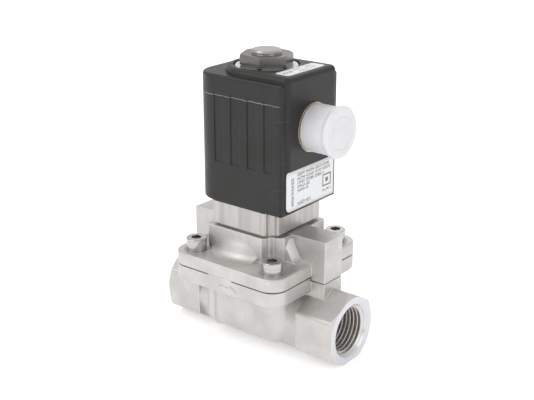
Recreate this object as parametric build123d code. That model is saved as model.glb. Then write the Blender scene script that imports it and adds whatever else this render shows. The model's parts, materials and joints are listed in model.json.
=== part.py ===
from build123d import *
import os
from math import cos, pi, sin, sqrt

# Servo-assisted solenoid valve with two threaded ports, in millimetres.
# X runs along the flow, from the inlet at -X to the outlet at +X, and Z is up.
# The origin is the centre of the flat underside, on the axis of the solenoid.

# Ports.
port_span = 88.0            # end face to end face
port_flats = 28.6           # across the flats of the hexagon
port_height = 13.5          # axis above the underside
hexagon_length = 18.0
hexagon_edge_radius = 2.0
port_turned_radius = 14.4   # hexagon corners turned down to this at the end face
port_turned_depth = 1.6
thread_major_radius = 10.48
thread_depth = 15.0
thread_mouth_radius = 11.5

# Flanges.
flange_half_x = 27.7
flange_half_y = 29.5
flange_corner_radius = 7.5
body_flange_low = 27.9
body_flange_thickness = 6.7
flange_gap = 0.4
cover_flange_thickness = 5.5
screw_seat_depth = 0.8
land_wall = 2.6             # beyond the chamber
land_width = 4.4
pad_x = (-7.0, 5.0)
pad_depth = 4.0
pad_inset = 0.3
seal_groove_inset = 0.8
seal_groove_width = 2.2
seal_groove_depth = 1.6
seal_fit = 0.15
edge_softening = 0.7

# Bowl.
bowl_wall = 2.8             # beyond the chamber, across the flow
bowl_reach = 6.5            # beyond the chamber, along the flow
bowl_corner_radius = 9.0
bowl_low = 3.0
bowl_under_radius = 8.6
barrel_radius = 14.1
swell_start = 13.5
swell_proud = 1.4
swell_edge_radius = 1.2

# Flow paths.
chamber_radius = 15.0
chamber_floor = 18.0
seat_top = 21.5
seat_bore_radius = 6.5
seat_outer_radius = 9.0
passage_radius = 6.0
inlet_passage_height = 19.0
outlet_passage_height = 9.5
inlet_passage_overlap = 2.0 # into the chamber

# Side channels.
channel_reach = 34.3
channel_half_width = 6.0
channel_bore_radius = 2.4
channel_axis_x = 29.3
channel_joint_height = 33.4
channel_gap = 0.4
drilled_radius = 1.2
jet_bore_radius = 0.5
jet_wall = 0.6
jet_length = 4.6
jet_recess = 0.4            # below the parting
channel_stub_low = 18.0
channel_notch_x = 24.6
channel_ring_wall = 1.9
channel_ring_depth = 1.3
channel_ring_fit = 0.1

# Cover.
tower_wall_x = 2.6          # beyond the chamber
tower_wall_y = 2.2
tower_corner_cut = 6.6
tower_rounding = 0.8
tower_rise = 10.4           # above the cover flange
block_rise = 10.9
chamber_roof_wall = 4.9
bell_inlet_x = -2.4         # the bell is longer than it is wide
bell_outlet_x = 2.1
bell_foot_wall = 8.6        # beyond the chamber, as are the next three
bell_flare_wall = 5.7
bell_waist_wall = 4.2
bell_top_wall = 2.3
bell_flare_rise = 1.6
bell_waist_rise = 4.6
bell_top_drop = 1.2         # below the tower's top
scallop_radius = 2.3
inlet_relief_radius = 6.4   # cut from the bell round each screw, for the driver
outlet_relief_radius = 12.0
scallop_low = 2.0
scallop_outward = 0.9

# Cover screws.
screw_x = 20.0
screw_y = 21.75
screw_radius = 2.5
screw_clearance = 0.25
screw_head_radius = 4.25
screw_head_height = 5.0
screw_length = 12.0
hex_socket_flats = 4.0
hex_socket_depth = 2.6
washer_radius = 4.9
washer_thickness = 0.9
washer_seat_clearance = 0.15
washer_hole_clearance = 0.1
screw_head_rounding = 0.5
screw_point = 0.4

# Pilot block.
pilot_half_x = 16.1
pilot_half_y = 16.7
pilot_corner_cut = 4.4
pilot_rounding = 2.4
pilot_height = 11.0
pilot_undercut = 1.0
pilot_undercut_inset = 1.6
pilot_bore_clearance = 0.4  # round the tube's root
pilot_edge = 0.3
block_screw_x = 10.2
block_screw_y = 10.5
block_screw_radius = 2.0
block_screw_head_radius = 3.4
block_screw_head_height = 2.2
block_screw_seat_depth = 5.0
block_screw_length = 10.0
block_screw_flats = 2.5
block_screw_socket_depth = 1.2
block_screw_clearance = 0.2
block_screw_head_clearance = 0.25
pilot_orifice_radius = 1.1
pilot_seat_radius = 4.0
pilot_seat_depth = 1.7
pilot_seat_base = 0.6
nozzle_foot_radius = 2.9
nozzle_tip_radius = 1.8

# Tube and armature.
tube_outer_radius = 6.2
tube_wall = 0.6
tube_root_wall = 2.6
tube_flange_land = 1.6
tube_flange_radius = 11.4
tube_flange_height = 3.1
tube_root_height = 1.5
tube_groove_width = 1.8
tube_groove_inset = 0.8
tube_groove_depth = 1.0
tube_seal_fit = 0.1
armature_clearance = 0.25
armature_length = 34.0
armature_travel = 1.6
armature_lift_gap = 1.0     # closed seal above the tower top
armature_edge = 0.6
armature_slot_depth = 0.8
armature_seal_radius = 3.0
armature_seal_height = 2.4
armature_seal_pocket = 1.6
stopper_gap = 0.2           # armature at its limit to the stopper
stud_rise = 1.6             # above the nut
stud_edge = 0.7
stud_groove_width = 0.6
stud_groove_rise = 0.1
stud_groove_depth = 0.5
shading_outer_radius = 4.6
shading_inner_radius = 3.6
shading_height = 1.4
plunger_spring_radius = 1.9
plunger_spring_wire = 0.45
plunger_pocket_radius = 2.3
plunger_pocket_depth = 6.0
plunger_spring_turns = 8
spring_end_gap = 0.1

# Coil.
gasket_thickness = 0.5
gasket_inset = 0.4
coil_float = 0.1            # running gap above the gasket and round the tube
coil_bore_gap = 0.25
coil_half_y = 18.3
coil_back_x = 23.0
coil_front_x = 22.9
coil_back_corner_radius = 9.6
cheek_step = 2.0            # from the core's side out to the cheek's
cheek_front_x = 21.7
cheek_height = 52.5
core_rise = 2.8             # above the cheeks
cheek_front_radius = 1.3
cheek_foot = 0.4
core_edge_radius = 2.2
core_foot_radius = 1.7
core_front_radius = 2.3
cheek_edge_radius = 1.2
groove_count = 4
groove_pitch = 8.35
groove_first_x = -9.9
groove_width = 4.6
groove_depth = 0.35
groove_low = 17.0
groove_top_margin = 7.1     # below the cheek's top
collar_recess_wall = 3.0    # left in the core round the recess
collar_recess_depth = 1.6
frame_thickness = 3.0
frame_half_x = 9.0
frame_cover = 1.5           # moulding over the frame
frame_top_gap = 0.5
frame_low = 1.5
bobbin_wall = 0.9
bobbin_frame_gap = 0.2
bobbin_flange_thickness = 1.2
winding_inset = 0.4

# Nut and washer.
disc_gap = 0.5              # to the wall of the recess
disc_thickness = 1.2
disc_edge = 0.3
hole_fit = 0.1
tube_below_disc = 1.0
nut_flats = 19.0
nut_height = 4.6
nut_turn = 52.0
nut_seal_width = 1.6
nut_seal_height = 1.2
nut_corner_drop = 0.7
nut_corner_cut = 0.9

# Connector and cap.
connector_height = 33.3     # above the coil's underside
collar_wall = 1.3           # beyond the shell
collar_thickness = 0.6
shell_radius = 8.6
shell_wall = 1.1
shell_reach = 10.4
shell_root = 3.2
shell_lip = 0.4
insert_reach = 3.0
pin_radius = 0.8
pin_circle = 3.6
pin_count = 4
pin_reach = 6.5
pin_root = 1.0
cap_fit = 0.3
cap_wall = 0.7
cap_flange_wall = 0.8       # beyond the cap
cap_flange_rounding = 0.9
cap_lip = 0.3
cap_flange_thickness = 2.3
cap_reach = 14.0
cap_end_thickness = 1.3
cap_start_gap = 0.2

# Labels.
label_thickness = 0.12
front_label_margin = 2.4    # inside the core's sides
front_label_corner = 1.0
front_label_low = 1.9
front_label_high = 18.2
top_label_x = (13.6, 20.4)
top_label_y = (-12.6, 11.7)

# Piston.
piston_clearance = 0.3
ring_clearance = 0.08
piston_travel = 5.0
piston_head_gap = 0.9       # above the piston at its limit
piston_foot_radius = 8.6
piston_skirt_low = 9.0      # above the seat
piston_foot_height = 2.0
piston_pocket_radius = 9.4
piston_pocket_floor = 6.0
ring_height = 2.0
ring_depth = 1.9
ring_below_top = 1.0
ring_split = 0.8
ring_root_gap = 0.05
seat_seal_radius = 8.3
seat_seal_height = 2.0
seat_contact_gap = 0.05
retainer_radius = 5.4
retainer_height = 1.0
seal_screw_radius = 1.9
seal_screw_head_radius = 3.3
seal_screw_head_height = 2.2
seal_screw_length = 5.6
piston_spring_radius = 7.6
piston_spring_wire = 1.0
piston_spring_turns = 4

# Worked out from the sizes above.
port_end_x = port_span / 2
bowl_half_x = chamber_radius + bowl_reach
bowl_half_y = chamber_radius + bowl_wall
swell_half_y = bowl_half_y + swell_proud
land_inner_radius = chamber_radius + land_wall
land_outer_radius = land_inner_radius + land_width
tower_half_x = chamber_radius + tower_wall_x
tower_half_y = chamber_radius + tower_wall_y
hexagon_back_x = port_end_x - hexagon_length
body_flange_top = body_flange_low + body_flange_thickness
cover_flange_low = body_flange_top + flange_gap
cover_flange_top = cover_flange_low + cover_flange_thickness
screw_seat = cover_flange_top - screw_seat_depth
tower_top = cover_flange_top + tower_rise
tube_inner_radius = tube_outer_radius - tube_wall
tube_root_radius = tube_inner_radius + tube_root_wall
tube_flange_bore = tube_inner_radius + tube_flange_land
pilot_bore_radius = tube_root_radius + pilot_bore_clearance
pilot_feed_x = (pilot_seat_radius + tube_flange_bore) / 2
stud_radius = tube_outer_radius
chamber_roof = tower_top - chamber_roof_wall
drilled_height = chamber_roof + chamber_roof_wall / 2
pilot_top = tower_top + pilot_height
coil_low = pilot_top + gasket_thickness + coil_float
cheek_top = coil_low + cheek_height
core_half_y = coil_half_y - cheek_step
core_top = cheek_top + core_rise
groove_high = cheek_height - groove_top_margin
collar_recess_radius = core_half_y - collar_recess_wall
disc_radius = collar_recess_radius - disc_gap
recess_floor = core_top - collar_recess_depth
disc_low = recess_floor + coil_float
nut_low = disc_low + disc_thickness
nut_top = nut_low + nut_height
stud_top = nut_top + stud_rise
tube_top = disc_low - tube_below_disc
armature_low = tower_top + armature_lift_gap + armature_seal_height
armature_top = armature_low + armature_length
stopper_low = armature_top + armature_travel + stopper_gap
armature_radius = tube_inner_radius - armature_clearance
connector_z = coil_low + connector_height
channel_top = cover_flange_top + block_rise
collar_radius = shell_radius + collar_wall
cap_bore_radius = shell_radius + cap_fit
cap_radius = cap_bore_radius + cap_wall
cap_flange_radius = cap_radius + cap_flange_wall
piston_radius = chamber_radius - piston_clearance
piston_low = seat_top + seat_contact_gap + seat_seal_height
piston_top = chamber_roof - piston_travel - piston_head_gap
piston_ring_top = piston_top - ring_below_top
piston_pocket = seat_top + piston_pocket_floor
jet_radius = channel_bore_radius + jet_wall
channel_ring_radius = channel_bore_radius + channel_ring_wall
channel_ring_low = channel_joint_height - channel_ring_depth
coil_bore_radius = tube_outer_radius + coil_bore_gap
frame_half_y = core_half_y - frame_cover
frame_bottom = coil_low + frame_low
frame_top = tube_top - frame_top_gap
winding_low = frame_bottom + frame_thickness
winding_high = frame_top - frame_thickness
bobbin_flange_radius = frame_half_y - frame_thickness - bobbin_frame_gap
winding_radius = bobbin_flange_radius - winding_inset
nut_seal_radius = stud_radius + nut_seal_width
nut_seal_top = nut_low + nut_seal_height
pilot_seat_top = tower_top + armature_lift_gap - seat_contact_gap
front_label_half_y = core_half_y - front_label_margin


def disc(radius, low, high, x=0.0, y=0.0):
    """Upright cylinder between two heights."""
    return Pos(x, y, (low + high) / 2) * Cylinder(radius, high - low)


def ring(outer, inner, low, high, x=0.0, y=0.0):
    """Upright tube between two heights; the cut runs clear through."""
    return disc(outer, low, high, x, y) - disc(inner, low - 1, high + 1, x, y)


def rod_x(radius, start, end, y=0.0, z=0.0):
    """Cylinder lying along X."""
    return Pos((start + end) / 2, y, z) * Rot(0, 90, 0) * Cylinder(radius, end - start)


def block(x, y, z):
    """Box from three pairs of low and high values."""
    centre = Pos((x[0] + x[1]) / 2, (y[0] + y[1]) / 2, (z[0] + z[1]) / 2)
    return centre * Box(x[1] - x[0], y[1] - y[0], z[1] - z[0])


def rounded_prism(half_x, half_y, radius, low, high):
    """Upright prism on a rounded rectangle."""
    outline = RectangleRounded(2 * half_x, 2 * half_y, radius)
    return Pos(0, 0, low) * extrude(outline, high - low)


def cut_corner_prism(half_x, half_y, cut, rounding, low, high):
    """Upright prism on a rectangle: one corner cut at 45 degrees, at +X and -Y, and three rounded."""
    outline = Rectangle(2 * half_x, 2 * half_y)
    front = outline.vertices().filter_by(lambda v: v.X > 0 and v.Y < 0)
    outline = chamfer(front, cut)
    others = outline.vertices().filter_by(lambda v: v.X * v.Y > half_x * half_y - 1 or (v.X < 0 < v.Y))
    outline = fillet(others, rounding)
    return Pos(0, 0, low) * extrude(outline, high - low)


def revolved(points):
    """Solid of revolution about Z from radius and height pairs."""
    outline = make_face(Polyline([(r, 0, z) for r, z in points], close=True))
    return revolve(outline, Axis.Z)


def hexagon_prism(flats, low, high, turn=0.0):
    """Upright hexagonal prism."""
    outline = RegularPolygon(flats / sqrt(3), 6, rotation=turn)
    return Pos(0, 0, low) * extrude(outline, high - low)


def at_corners(x, y):
    """The four places of a rectangular pattern."""
    return [(side_x * x, side_y * y) for side_x in (-1, 1) for side_y in (-1, 1)]


def port(side):
    """Hexagonal end with turned corners; side is -1 for the inlet and 1 for the outlet."""
    outline = RegularPolygon(port_flats / sqrt(3), 6, rotation=30)
    outline = fillet(outline.vertices(), hexagon_edge_radius)
    prism = extrude(Plane.YZ * outline, hexagon_length)
    corner = port_flats / sqrt(3) + 0.5
    run = port_turned_depth * (corner - port_turned_radius) / (port_flats / sqrt(3) - port_turned_radius)
    turned = revolve(
        make_face(Polyline((0, 0), (0, corner), (hexagon_length - run, corner),
                           (hexagon_length, port_turned_radius), (hexagon_length, 0), close=True)),
        Axis.X,
    )
    end = Pos(hexagon_back_x, 0, port_height) * (prism & turned)
    return end if side > 0 else mirror(end, Plane.YZ)


def port_bore(side):
    """Bore at the thread's major diameter with a countersunk mouth."""
    mouth = thread_mouth_radius - thread_major_radius
    profile = make_face(Polyline(
        (-thread_depth, 0), (-thread_depth, thread_major_radius), (-mouth, thread_major_radius),
        (0, thread_mouth_radius), (1, thread_mouth_radius), (1, 0), close=True))
    bore = Pos(port_end_x, 0, port_height) * revolve(profile, Axis.X)
    return bore if side > 0 else mirror(bore, Plane.YZ)


def valve_body():
    """Body casting: ports, barrel, bowl, flange and the two channel stubs."""
    barrel = rod_x(barrel_radius, -hexagon_back_x - 1, hexagon_back_x + 1, z=port_height)
    bowl = rounded_prism(bowl_half_x, bowl_half_y, bowl_corner_radius, bowl_low, body_flange_low + 1)
    under_edges = bowl.edges().group_by(Axis.Z)[0]
    bowl = fillet(under_edges, bowl_under_radius)
    swell = rounded_prism(bowl_half_x, swell_half_y, bowl_corner_radius, bowl_low, body_flange_low + 1)
    swell = fillet(swell.edges().group_by(Axis.Z)[0], bowl_under_radius)
    swell = swell & block((-bowl_half_x - 1, -swell_start), (-40, 40), (0, body_flange_low + 1))
    swell = fillet(swell.edges().filter_by(Axis.Z).sort_by(Axis.X)[-2:], swell_edge_radius)
    flange = rounded_prism(flange_half_x, flange_half_y, flange_corner_radius,
                           body_flange_low, body_flange_top)
    flange = fillet(flange.edges().group_by(Axis.Z)[0], edge_softening * 2)
    flange = chamfer(flange.edges().group_by(Axis.Z)[-1], edge_softening / 3)
    land = disc(land_outer_radius, body_flange_top - 1, cover_flange_low)
    pad_outer = flange_half_y - pad_inset
    pads = [block(pad_x, sorted((side * pad_outer, side * (pad_outer - pad_depth))),
                  (body_flange_top - 1, cover_flange_low)) for side in (-1, 1)]
    body = barrel + bowl + swell + flange + land + pads
    for side in (-1, 1):
        body += port(side)
        reach = sorted((side * (bowl_half_x - 4), side * channel_reach))
        body += block(reach, (-channel_half_width, channel_half_width),
                      (channel_stub_low, channel_joint_height - channel_gap / 2))
        notch = sorted((side * channel_notch_x, side * (channel_reach + 1)))
        body -= block(notch, (-channel_half_width - channel_gap, channel_half_width + channel_gap),
                      (channel_joint_height - channel_gap / 2, body_flange_top + 1))
    body &= block((-60, 60), (-60, 60), (0, 100))

    body -= disc(chamber_radius, chamber_floor, 100)
    body += ring(seat_outer_radius, seat_bore_radius, chamber_floor - 1, seat_top)
    body -= rod_x(passage_radius, -port_end_x + thread_depth - 1, inlet_passage_overlap - chamber_radius,
                  z=inlet_passage_height)
    body += ring(seat_outer_radius, seat_bore_radius, chamber_floor - 1, seat_top)
    body -= disc(seat_bore_radius, outlet_passage_height, seat_top + 1)
    body -= rod_x(passage_radius, 0, port_end_x - thread_depth + 1, z=outlet_passage_height)
    body -= Pos(0, 0, outlet_passage_height) * Sphere(seat_bore_radius)
    for side in (-1, 1):
        body -= port_bore(side)
        body -= disc(channel_bore_radius, port_height, channel_joint_height + 5, side * channel_axis_x)
        body -= channel_groove(side)
    body -= disc(jet_radius, jet_low(), channel_joint_height + 1, -channel_axis_x)
    body -= ring(cover_groove()[1], cover_groove()[0], cover_groove()[2], cover_flange_low + 1)
    for x, y in at_corners(screw_x, screw_y):
        body -= disc(screw_radius, body_flange_low - 1, body_flange_top + 1, x, y)
    return body


def cover_groove():
    """Inner radius, outer radius and floor of the groove round the chamber."""
    inner = land_inner_radius + seal_groove_inset
    return inner, inner + seal_groove_width, cover_flange_low - seal_groove_depth


def jet_low():
    """Underside of the jet in the inlet channel."""
    return channel_joint_height - jet_recess - jet_length


def channel_groove(side):
    """Counterbore for the ring that seals one side channel at the parting."""
    return disc(channel_ring_radius, channel_ring_low, channel_joint_height + 1, side * channel_axis_x)


def cover():
    """Cover casting: flange, bell, tower with cut corners and the channel blocks."""
    flange = rounded_prism(flange_half_x, flange_half_y, flange_corner_radius,
                           cover_flange_low, cover_flange_top)
    flange = chamfer(flange.edges().group_by(Axis.Z)[0], edge_softening / 3)
    flange = fillet(flange.edges().group_by(Axis.Z)[-1], edge_softening)
    bell = cover_bell()
    for x, y in at_corners(screw_x, screw_y):
        relief_radius = outlet_relief_radius if x > 0 else inlet_relief_radius
        bell -= disc(relief_radius, cover_flange_top, tower_top, x, y)
    tower = cut_corner_prism(tower_half_x, tower_half_y, tower_corner_cut, tower_rounding,
                             cover_flange_top - 1, tower_top)
    casting = flange + bell + tower
    for side in (-1, 1):
        reach = sorted((side * (tower_half_x - 3), side * channel_reach))
        casting += block(reach, (-channel_half_width, channel_half_width), (cover_flange_low, channel_top))
        drop = sorted((side * (channel_notch_x + channel_gap), side * channel_reach))
        casting += block(drop, (-channel_half_width, channel_half_width),
                         (channel_joint_height + channel_gap / 2, cover_flange_low + 1))
        casting -= disc(channel_bore_radius, channel_joint_height - 1, drilled_height, side * channel_axis_x)
    casting -= disc(chamber_radius, cover_flange_low - 1, chamber_roof)
    casting -= rod_x(drilled_radius, -channel_axis_x - 1, -pilot_feed_x, z=drilled_height)
    casting -= rod_x(drilled_radius, 0, channel_axis_x + 1, z=drilled_height)
    casting -= disc(drilled_radius, chamber_roof - 1, tower_top + 1, -pilot_feed_x)
    casting -= disc(pilot_seat_radius, tower_top - pilot_seat_depth, tower_top + 1)
    casting -= disc(drilled_radius, drilled_height, tower_top)
    inner, outer = tube_groove()
    casting -= ring(outer, inner, tower_top - tube_groove_depth, tower_top + 1)
    for x, y in at_corners(screw_x, screw_y):
        casting -= disc(screw_radius + screw_clearance, cover_flange_low - 1, cover_flange_top + 1, x, y)
        casting -= disc(washer_radius + washer_seat_clearance, screw_seat, tower_top + 1, x, y)
    x, y = scallop_place()
    casting -= disc(scallop_radius, cover_flange_top + scallop_low, tower_top + 1, x, y)
    for x, y in at_corners(block_screw_x, block_screw_y):
        casting -= disc(block_screw_radius, block_screw_bottom(), tower_top + 1, x, y)
    return casting


def cover_bell():
    """Flared bell over the chamber: one smooth curve turned about an upright axis near each port."""
    low = cover_flange_top
    high = tower_top - bell_top_drop
    foot = (chamber_radius + bell_foot_wall, 0, low)
    flare = (chamber_radius + bell_flare_wall, 0, low + bell_flare_rise)
    waist = (chamber_radius + bell_waist_wall, 0, low + bell_waist_rise)
    top = (chamber_radius + bell_top_wall, 0, high)
    side = Spline(foot, flare, waist, top, tangents=[(-1, 0, 0.15), (-0.25, 0, 1)])
    rest = Polyline(top, (0, 0, high), (0, 0, low - 1), (foot[0], 0, low - 1), foot)
    half = revolve(make_face([side, *rest.edges()]), Axis.Z)
    outlet_side = block((tower_half_x - tower_corner_cut, foot[0] + bell_outlet_x),
                        (-foot[0], foot[0]), (low - 1, high))
    return Pos(bell_inlet_x, 0, 0) * half + (Pos(bell_outlet_x, 0, 0) * half & outlet_side)


def tube_groove():
    """Inner and outer radius of the groove under the guide tube's flange."""
    outer = tube_flange_radius - tube_groove_inset
    return outer - tube_groove_width, outer


def scallop_place():
    """Centre of the scallop, just outside the middle of the block's cut corner."""
    shift = scallop_outward / sqrt(2) - pilot_corner_cut / 2
    return pilot_half_x + shift, -pilot_half_y - shift


def block_screw_bottom():
    """Depth of the tapped holes under the pilot block."""
    return pilot_top - block_screw_seat_depth - block_screw_length + block_screw_head_height


def cap_screw(radius, head_radius, head_height, length, flats, socket_depth):
    """Socket cap screw hanging down from a head that sits on zero."""
    head = disc(head_radius, 0, head_height)
    head = fillet(head.edges().group_by(Axis.Z)[-1], screw_head_rounding)
    shank = disc(radius, -length, head_height / 4)
    shank = chamfer(shank.edges().group_by(Axis.Z)[0], screw_point)
    return head + shank - hexagon_prism(flats, head_height - socket_depth, head_height + 1)


def cover_screws():
    screw = cap_screw(screw_radius, screw_head_radius, screw_head_height, screw_length,
                      hex_socket_flats, hex_socket_depth)
    return [Pos(x, y, screw_seat + washer_thickness) * screw for x, y in at_corners(screw_x, screw_y)]


def screw_washers():
    hole = screw_radius + washer_hole_clearance
    return [ring(washer_radius, hole, screw_seat, screw_seat + washer_thickness, x, y)
            for x, y in at_corners(screw_x, screw_y)]


def cover_seal():
    inner, outer, floor = cover_groove()
    return ring(outer - seal_fit, inner + seal_fit, floor, cover_flange_low)


def channel_seals():
    high = channel_joint_height + channel_gap / 2
    outer = channel_ring_radius - channel_ring_fit
    inner = jet_radius + channel_ring_fit
    return [ring(outer, inner, channel_ring_low, high, side * channel_axis_x) for side in (-1, 1)]


def feed_jet():
    return ring(jet_radius, jet_bore_radius, jet_low(), jet_low() + jet_length, -channel_axis_x)


def piston():
    foot = piston_low + piston_foot_height
    skirt = seat_top + piston_skirt_low
    groove_low = piston_ring_top - ring_height
    groove_radius = piston_radius - ring_depth
    outline = [(0, piston_low), (piston_foot_radius, piston_low), (piston_foot_radius, foot),
               (piston_radius, skirt), (piston_radius, groove_low), (groove_radius, groove_low),
               (groove_radius, piston_ring_top), (piston_radius, piston_ring_top),
               (piston_radius, piston_top),
               (piston_pocket_radius, piston_top), (piston_pocket_radius, piston_pocket + 2),
               (piston_pocket_radius - 1, piston_pocket), (0, piston_pocket)]
    return revolved(outline) - disc(seal_screw_radius, piston_low - 1, seal_screw_low() + seal_screw_length)


def piston_ring():
    low = piston_ring_top - ring_height
    root = piston_radius - ring_depth + ring_root_gap
    band = ring(chamber_radius - ring_clearance, root, low, piston_ring_top)
    split = block((0, chamber_radius + 1), (-ring_split / 2, ring_split / 2), (low - 1, piston_ring_top + 1))
    return band - split


def piston_seat_seal():
    return ring(seat_seal_radius, seal_screw_radius, piston_low - seat_seal_height, piston_low)


def seal_retainer():
    return ring(retainer_radius, seal_screw_radius, seal_screw_low(), seal_screw_low() + retainer_height)


def seal_screw_low():
    """Underside of the retainer, where the seal screw's head sits."""
    return piston_low - seat_seal_height - retainer_height


def seal_screw():
    under_head = seal_screw_low()
    shank = disc(seal_screw_radius, under_head, under_head + seal_screw_length)
    return shank + hexagon_prism(2 * seal_screw_head_radius * cos(pi / 6),
                                 under_head - seal_screw_head_height, under_head)


def coil_spring(radius, wire, low, high, turns):
    """Round-wire compression spring that ends inside the two heights."""
    height = high - low - 2 * wire
    path = Helix(height / turns, height, radius - wire, center=(0, 0, low + wire))
    section = Plane(origin=path @ 0, z_dir=path % 0) * Circle(wire)
    return sweep(section, path=path)


def piston_spring():
    return coil_spring(piston_spring_radius, piston_spring_wire / 2, piston_pocket + spring_end_gap,
                       chamber_roof - spring_end_gap, piston_spring_turns)


def pilot_seat():
    base_top = tower_top + pilot_seat_base
    base = disc(pilot_seat_radius, tower_top - pilot_seat_depth, base_top)
    nozzle = revolved([(0, tower_top), (nozzle_foot_radius, tower_top), (nozzle_foot_radius, base_top),
                       (nozzle_tip_radius, pilot_seat_top), (0, pilot_seat_top)])
    return base + nozzle - disc(pilot_orifice_radius, 0, pilot_top)


def pilot_block():
    plinth = cut_corner_prism(pilot_half_x - pilot_undercut_inset, pilot_half_y - pilot_undercut_inset,
                              pilot_corner_cut, pilot_rounding, tower_top, tower_top + pilot_undercut)
    main = cut_corner_prism(pilot_half_x, pilot_half_y, pilot_corner_cut, pilot_rounding,
                            tower_top + pilot_undercut, pilot_top)
    main = chamfer(main.edges().group_by(Axis.Z)[0], pilot_edge)
    main = chamfer(main.edges().group_by(Axis.Z)[-1], pilot_edge)
    part = main + plinth
    part -= disc(pilot_bore_radius, tower_top - 1, pilot_top + 1)
    part -= disc(tube_flange_radius, tower_top - 1, tower_top + tube_flange_height)
    x, y = scallop_place()
    part -= disc(scallop_radius, tower_top - 1, pilot_top + 1, x, y)
    for x, y in at_corners(block_screw_x, block_screw_y):
        part -= disc(block_screw_radius + block_screw_clearance, tower_top - 1, pilot_top + 1, x, y)
        part -= disc(block_screw_head_radius + block_screw_head_clearance,
                     pilot_top - block_screw_seat_depth, pilot_top + 1, x, y)
    return part


def block_screws():
    screw = cap_screw(block_screw_radius, block_screw_head_radius, block_screw_head_height,
                      block_screw_length - block_screw_head_height,
                      block_screw_flats, block_screw_socket_depth)
    return [Pos(x, y, pilot_top - block_screw_seat_depth) * screw
            for x, y in at_corners(block_screw_x, block_screw_y)]


def guide_tube():
    flange_top = tower_top + tube_flange_height
    root_low = flange_top - tube_root_height
    wall = ring(tube_outer_radius, tube_inner_radius, root_low, tube_top)
    flange = ring(tube_flange_radius, tube_flange_bore, tower_top, flange_top)
    root = ring(tube_root_radius, tube_inner_radius, root_low, flange_top)
    return wall + flange + root


def tube_seal():
    inner, outer = tube_groove()
    return ring(outer - tube_seal_fit, inner + tube_seal_fit, tower_top - tube_groove_depth, tower_top)


def stopper():
    core = disc(tube_inner_radius, stopper_low, tube_top)
    stud = disc(stud_radius, tube_top, stud_top)
    stud = chamfer(stud.edges().group_by(Axis.Z)[-1], stud_edge)
    groove_low = nut_top + stud_groove_rise
    groove = ring(stud_radius + 1, stud_radius - stud_groove_depth,
                  groove_low, groove_low + stud_groove_width)
    part = core + stud - groove
    part -= ring(shading_outer_radius, shading_inner_radius, stopper_low - 1, stopper_low + shading_height)
    return part - disc(plunger_pocket_radius, stopper_low - 1, stopper_low + plunger_pocket_depth)


def shading_ring():
    return ring(shading_outer_radius, shading_inner_radius, stopper_low, stopper_low + shading_height)


def armature():
    part = disc(armature_radius, armature_low, armature_top)
    part = chamfer(part.edges().group_by(Axis.Z)[0], armature_edge)
    part -= disc(plunger_pocket_radius, armature_top - plunger_pocket_depth, armature_top + 1)
    part -= disc(armature_seal_radius, armature_low - 1, armature_low + armature_seal_pocket)
    for turn in (0, 180):
        slot = block((armature_radius - armature_slot_depth, armature_radius + 1),
                     (-armature_slot_depth, armature_slot_depth), (armature_low + 1, armature_top + 1))
        part -= Rot(0, 0, turn) * slot
    return part


def armature_seal():
    low = armature_low - armature_seal_height
    return disc(armature_seal_radius, low, armature_low + armature_seal_pocket)


def armature_spring():
    return coil_spring(plunger_spring_radius, plunger_spring_wire / 2,
                       armature_top - plunger_pocket_depth + spring_end_gap,
                       stopper_low + plunger_pocket_depth - spring_end_gap, plunger_spring_turns)


def coil_gasket():
    top = pilot_top + gasket_thickness
    sheet = cut_corner_prism(pilot_half_x - gasket_inset, pilot_half_y - gasket_inset, pilot_corner_cut,
                             pilot_rounding, pilot_top, top)
    return sheet - disc(pilot_bore_radius, pilot_top - 1, top + 1)


def tombstone(half_y, front, low, high, front_radius):
    """Upright prism with a half-round back about the tube and a flat front."""
    outline = Circle(half_y) + Pos(front / 2, 0) * Rectangle(front, 2 * half_y)
    corners = outline.vertices().filter_by(lambda v: v.X > front - 0.1)
    outline = fillet(corners, front_radius)
    return Pos(0, 0, low) * extrude(outline, high - low)


def cheek_shell(low, high):
    """Outer mould shape: large round corners at the back, small ones at the front."""
    length = coil_back_x + cheek_front_x
    outline = Pos((cheek_front_x - coil_back_x) / 2, 0) * Rectangle(length, 2 * coil_half_y)
    back = outline.vertices().filter_by(lambda v: v.X < 0)
    outline = fillet(back, coil_back_corner_radius)
    front = outline.vertices().filter_by(lambda v: v.X > cheek_front_x - 0.1)
    outline = fillet(front, cheek_front_radius)
    return Pos(0, 0, low) * extrude(outline, high - low)


def coil_housing():
    shell = cheek_shell(coil_low, cheek_top)
    shell = fillet(shell.edges().group_by(Axis.Z)[-1], cheek_edge_radius)
    shell = chamfer(shell.edges().group_by(Axis.Z)[0], cheek_foot)
    core = tombstone(core_half_y, coil_front_x, coil_low, core_top, core_front_radius)
    core = fillet(core.edges().group_by(Axis.Z)[-1], core_edge_radius)
    foot = core.edges().group_by(Axis.Z)[0].filter_by(Axis.Y).sort_by(Axis.X)[-1]
    core = chamfer(foot, core_foot_radius)
    part = shell + core
    for side in (-1, 1):
        for index in range(groove_count):
            middle = groove_first_x + index * groove_pitch
            face = side * coil_half_y
            part -= block((middle - groove_width / 2, middle + groove_width / 2),
                          (face - groove_depth, face + groove_depth),
                          (coil_low + groove_low, coil_low + groove_high))
    part -= disc(collar_recess_radius, recess_floor, core_top + 1)
    part -= disc(coil_bore_radius, coil_low - 1, core_top + 1)
    part -= frame_envelope()
    part -= disc(bobbin_flange_radius, winding_low, winding_high)
    part -= rod_x(shell_radius, coil_front_x - shell_root, coil_front_x + 1, z=connector_z)
    return part


def frame_envelope():
    """Outer box of the magnet frame less its inside."""
    outer = block((-frame_half_x, frame_half_x), (-frame_half_y, frame_half_y), (frame_bottom, frame_top))
    inner = block((-frame_half_x - 1, frame_half_x + 1),
                  (frame_thickness - frame_half_y, frame_half_y - frame_thickness),
                  (winding_low, winding_high))
    return outer - inner


def magnet_frame():
    return frame_envelope() - disc(coil_bore_radius, coil_low, core_top)


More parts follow.
